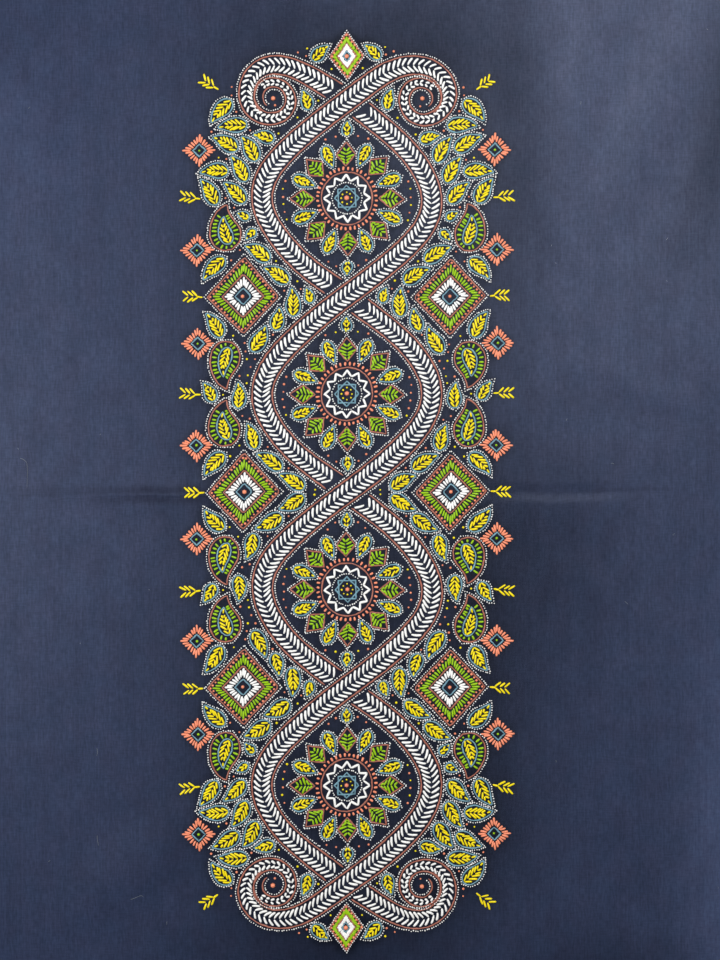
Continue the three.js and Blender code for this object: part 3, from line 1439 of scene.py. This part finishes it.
def cloth_mesh():
    grid = bmesh.new()
    bmesh.ops.create_grid(grid, x_segments=COLUMNS, y_segments=ROWS, size=1)
    mesh = bpy.data.meshes.new("cloth")
    grid.to_mesh(mesh)
    grid.free()
    points = np.empty(len(mesh.vertices) * 3, np.float64)
    mesh.vertices.foreach_get("co", points)
    flat = points.reshape(-1, 3)
    half_width = CLOTH_WIDTH / 2
    half_length = CLOTH_LENGTH / 2
    x = crowded(flat[:, 0], half_width, PAINTED_HALF, PAINTED_SHARE)
    y = crowded(flat[:, 1], half_length, CREASED_HALF, CREASED_SHARE)
    side = SIDE_WAVE["depth"] * np.sin(math.tau * y / SIDE_WAVE["length"] + SIDE_WAVE["start"])
    end = END_WAVE["depth"] * np.sin(math.tau * x / END_WAVE["length"] + END_WAVE["start"])
    laid_x = x * (1 + side / half_width) + LEAN * y / CLOTH_LENGTH
    laid_y = y * (1 + end / half_length)
    top = CLOTH_TOP + lift(laid_x, laid_y)
    laid = np.stack([laid_x, laid_y, top], axis=-1) * MM
    mesh.vertices.foreach_set("co", laid.astype(np.float32).ravel())
    # The shares: the oil stain, the wide oil halo with its painted shade, the painted crease shade
    # and the patches of painted light and shade.
    shares = {
        "oil": read_map(oil_near, laid_x, laid_y),
        "oil_and_shade_wide": read_map(oil_and_shade_wide, laid_x, laid_y),
        "crease_shade": painted_crease_shade(laid_x, laid_y),
        "tone": painted_light_and_shade(laid_x, laid_y),
    }
    return finished(mesh, shares)


# %% [markdown]
# The cotton is a plain weave: threads over and under each other in both
# directions, some twenty-three to the centimetre. Two wave textures at right angles give the
# bump. Slubs, where a thread was spun thicker, are short streaks both ways, and the
# warp adds long fine ones up the panel. Dye takes unevenly, so the navy drifts a
# little in tone and hue. The thread has a soft cool sheen, which oil and the painted
# crease shade dull, and which the patches of painted light and shade raise or lower.

# %% Cotton material
NAVY_COOL = (0.019, 0.0286, 0.063)
NAVY_WARM = (0.0205, 0.0274, 0.06)
SHEEN_TINT = (0.69, 0.76, 1.0)
OILED = (0.006, 0.0075, 0.014)
CREASE_SHADE_COLOUR = (0.004, 0.005, 0.016)
OPEN_GLOSS = 0.28
OILED_GLOSS = 0.145
OIL_STRENGTH = 0.92
WIDE_OIL_AND_SHADE_STRENGTH = 0.66
CREASE_SHADE_STRENGTH = 0.5
THREAD_PITCH = 0.00044


def stretched_noise(tree, place, scale, stretch, detail=3.0):
    """Noise drawn out along one direction, as a thick thread is."""
    mapping = node(tree, "ShaderNodeMapping")
    mapping.inputs["Scale"].default_value = stretch
    tree.links.new(place.outputs["Object"], mapping.inputs["Vector"])
    noise = node(tree, "ShaderNodeTexNoise", Scale=scale, Detail=detail)
    tree.links.new(mapping.outputs["Vector"], noise.inputs["Vector"])
    return noise.outputs["Fac"]


def do_sum(tree, operation, first, second):
    """An operation on two values. Each is a socket, or a plain number."""
    made = node(tree, "ShaderNodeMath", operation=operation)
    for socket, value in zip(made.inputs, (first, second)):
        if isinstance(value, bpy.types.NodeSocket):
            tree.links.new(value, socket)
        else:
            socket.default_value = value
    return made.outputs[0]


def cotton_material():
    material = bpy.data.materials.new("navy cotton")
    material.use_nodes = True
    tree = material.node_tree
    shader = tree.nodes["Principled BSDF"]
    shader.inputs["Roughness"].default_value = 0.42
    shader.inputs["Specular IOR Level"].default_value = OPEN_GLOSS
    shader.inputs["Specular Tint"].default_value = (*SHEEN_TINT, 1)
    place = node(tree, "ShaderNodeTexCoord")
    threads = []
    for direction in ("X", "Y"):
        wave = node(
            tree,
            "ShaderNodeTexWave",
            bands_direction=direction,
            Scale=math.tau / 20 / THREAD_PITCH,
            Distortion=0.6,
        )
        wave.inputs["Detail"].default_value = 1.0
        tree.links.new(place.outputs["Object"], wave.inputs["Vector"])
        threads.append(wave.outputs["Fac"])
    weave = do_sum(tree, "MULTIPLY", threads[0], threads[1])
    slubs_up = stretched_noise(tree, place, 1.0, (1400, 260, 1))
    slubs_across = stretched_noise(tree, place, 1.0, (260, 1500, 1))
    slubs = do_sum(tree, "ADD", slubs_up, do_sum(tree, "MULTIPLY", slubs_across, 0.7))
    drift = stretched_noise(tree, place, 1.0, (95, 60, 60), 2.0)
    hue = stretched_noise(tree, place, 1.0, (100, 80, 80), 1.0)
    warp = stretched_noise(tree, place, 1.0, (900, 24, 1), 2.0)
    strengths = {"oil": OIL_STRENGTH, "oil_and_shade_wide": WIDE_OIL_AND_SHADE_STRENGTH, "crease_shade": CREASE_SHADE_STRENGTH}
    shares = {}
    for name, strength in strengths.items():
        read = node(tree, "ShaderNodeAttribute", attribute_name=name)
        shares[name] = do_sum(tree, "MULTIPLY", read.outputs["Fac"], strength)
    dye = mix_colours(tree, ranged(tree, hue, 0.35, 0.65, 0.0, 1.0), NAVY_COOL, NAVY_WARM)
    # The wide halo: part oil stain, part painted shade.
    colour = mix_colours(tree, shares["oil_and_shade_wide"], dye, OILED)
    colour = mix_colours(tree, shares["oil"], colour, OILED)
    # Painted shade along the crease.
    colour = mix_colours(tree, shares["crease_shade"], colour, CREASE_SHADE_COLOUR)
    # The tone attribute carries the painted light and shade of the patches; slubs, dye drift and
    # warp streaks are the cloth's own.
    tone = node(tree, "ShaderNodeAttribute", attribute_name="tone").outputs["Fac"]
    tone = do_sum(tree, "MULTIPLY", tone, ranged(tree, slubs, 0.6, 1.1, 0.81, 1.19))
    tone = do_sum(tree, "MULTIPLY", tone, ranged(tree, drift, 0.3, 0.7, 0.92, 1.08))
    tone = do_sum(tree, "MULTIPLY", tone, ranged(tree, warp, 0.3, 0.7, 0.93, 1.07))
    tint = node(tree, "ShaderNodeCombineColor")
    for socket in tint.inputs:
        tree.links.new(tone, socket)
    colour = mix_colours(tree, 1.0, colour, tint.outputs[0], "MULTIPLY")
    tree.links.new(colour, shader.inputs["Base Color"])
    dulled = do_sum(tree, "MAXIMUM", shares["oil"], shares["oil_and_shade_wide"])
    dulled = do_sum(tree, "MAXIMUM", dulled, do_sum(tree, "MULTIPLY", shares["crease_shade"], 0.7))
    kept = ranged(tree, dulled, 0, OIL_STRENGTH, OPEN_GLOSS, OILED_GLOSS)
    gloss = do_sum(tree, "MULTIPLY", tone, kept)
    tree.links.new(gloss, shader.inputs["Specular IOR Level"])
    height = do_sum(tree, "ADD", weave, do_sum(tree, "MULTIPLY", slubs, 0.6))
    bump = node(tree, "ShaderNodeBump", Strength=0.25, Distance=0.00012)
    tree.links.new(height, bump.inputs["Height"])
    tree.links.new(bump.outputs["Normal"], shader.inputs["Normal"])
    return material


cotton = cotton_material()
cloth = add_piece("cotton_panel", cloth_mesh(), cotton)
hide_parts("painted_cloth")
thickness = cloth.modifiers.new("cloth thickness", "SOLIDIFY")
thickness.thickness = CLOTH_TOP * MM
thickness.offset = -1
print("faces of the cloth's top", len(cloth.data.polygons))

# %% [markdown]
# Dark cotton shows every fibre that has settled on it. A few pale bent hairs lie on the
# open cloth, and some specks that are only a fraction of a millimetre long.

# %% Lint
LINT = [
    [(-147, 15.2), (-144.5, 14.4), (-143.6, 12.5), (-143.8, 7), (-144, 2)],
    [(-112.6, -115.4), (-111.9, -117.4), (-112.7, -118.6)],
    [(-112.4, -154.6), (-112.5, -157), (-111.6, -159)],
    [(-97.2, -183.2), (-94.4, -182.6), (-92.6, -180.4), (-91.6, -182.2)],
    [(-148.2, 19.8), (-147.8, 19.2)],
    [(126.4, -50.4), (125, -49.2)],
    [(98.6, 32.2), (99, 33)],
    [(119, 13), (120.3, 12.7)],
]
SPECKS = [
    (-143, 173),
    (-111, 26),
    (-89, -44),
    (-120, -68),
    (-134, -166),
    (-81, -194),
    (105, 175),
    (92, 111),
    (94, 103),
    (144, 114),
    (144, 95),
    (147, -19),
    (94, -121),
    (167, -178),
    (162, 208),
]
LINT_WIDTH = 0.11
LINT_COLOUR = (0.17, 0.19, 0.2)


def lint_mesh():
    curve = bpy.data.curves.new("lint", "CURVE")
    curve.dimensions = "3D"
    curve.bevel_depth = LINT_WIDTH / 2 * MM
    curve.bevel_resolution = 1
    curve.resolution_u = 6
    curve.use_fill_caps = True
    fibres = list(LINT)
    for x, y in SPECKS:
        heading = hand.uniform(0, math.tau)
        reach = hand.uniform(0.3, 0.7)
        dx, dy = reach * math.cos(heading), reach * math.sin(heading)
        fibres.append([(x - dx, y - dy), (x + dy / 3, y - dx / 3), (x + dx, y + dy)])
    for fibre in fibres:
        spline = curve.splines.new("NURBS")
        spline.points.add(len(fibre) - 1)
        spline.use_endpoint_u = True
        spline.order_u = min(4, len(fibre))
        for i, ((x, y), point) in enumerate(zip(fibre, spline.points)):
            height = CLOTH_TOP + float(lift(x, y)) + LINT_WIDTH / 2
            point.co = (x * MM, y * MM, height * MM, 1)
            point.radius = 1.3 - 0.8 * i / len(fibre)
    thread = bpy.data.objects.new("lint", curve)
    mesh = bpy.data.meshes.new_from_object(thread)
    bpy.data.objects.remove(thread)
    bpy.data.curves.remove(curve)
    return mesh


pale = bpy.data.materials.new("lint fibre")
pale.use_nodes = True
pale_shader = pale.node_tree.nodes["Principled BSDF"]
pale_shader.inputs["Base Color"].default_value = (*LINT_COLOUR, 1)
pale_shader.inputs["Roughness"].default_value = 0.8
add_piece("lint", lint_mesh(), pale)

# %% [markdown]
# ## Floor and light
#
# The panel lies on a plain pale floor, in soft light from four sides. The strongest is
# a window beyond the upper right, which makes that part of the cloth shine a little.
# A wide light on the left and one from the ceiling fill in, and a weak one low on the
# right lifts the lower edge.

# %% Floor
FLOOR_COLOUR = (0.6, 0.595, 0.58)


def add_floor():
    floor = bmesh.new()
    bmesh.ops.create_grid(floor, x_segments=1, y_segments=1, size=3)
    mesh = bpy.data.meshes.new("floor")
    floor.to_mesh(mesh)
    floor.free()
    plain = bpy.data.materials.new("pale floor")
    plain.use_nodes = True
    shader = plain.node_tree.nodes["Principled BSDF"]
    shader.inputs["Base Color"].default_value = (*FLOOR_COLOUR, 1)
    shader.inputs["Roughness"].default_value = 0.8
    mesh.materials.append(plain)
    piece = bpy.data.objects.new("floor", mesh)
    piece.location = (0, 0, -0.0003)
    bpy.context.scene.collection.objects.link(piece)


add_floor()


# %% Lights
ROOM_LIGHT = 0.05


def add_area(name, spot, aim, size, power):
    data = bpy.data.lights.new(name, "AREA")
    data.shape = "RECTANGLE"
    data.size, data.size_y = size
    data.energy = power
    light = bpy.data.objects.new(name, data)
    light.location = spot
    way = Vector(aim) - Vector(spot)
    light.rotation_euler = way.to_track_quat("-Z", "Y").to_euler()
    bpy.context.scene.collection.objects.link(light)


add_area("window", (0.32, 0.5, 0.9), (0.12, 0.16, 0), (0.25, 0.55), 8.6)
add_area("left side", (-0.6, 0.04, 0.5), (-0.15, 0.02, 0), (0.4, 0.6), 4.6)
add_area("ceiling", (0, 0.1, 1.2), (0, 0, 0), (1, 1), 2.4)
add_area("low right", (0.52, -0.3, 0.4), (0.17, -0.15, 0), (0.3, 0.4), 0.6)
world = bpy.data.worlds.new("room")
world.use_nodes = True
background = world.node_tree.nodes["Background"]
background.inputs["Color"].default_value = (1, 1, 1, 1)
background.inputs["Strength"].default_value = ROOM_LIGHT
bpy.context.scene.world = world
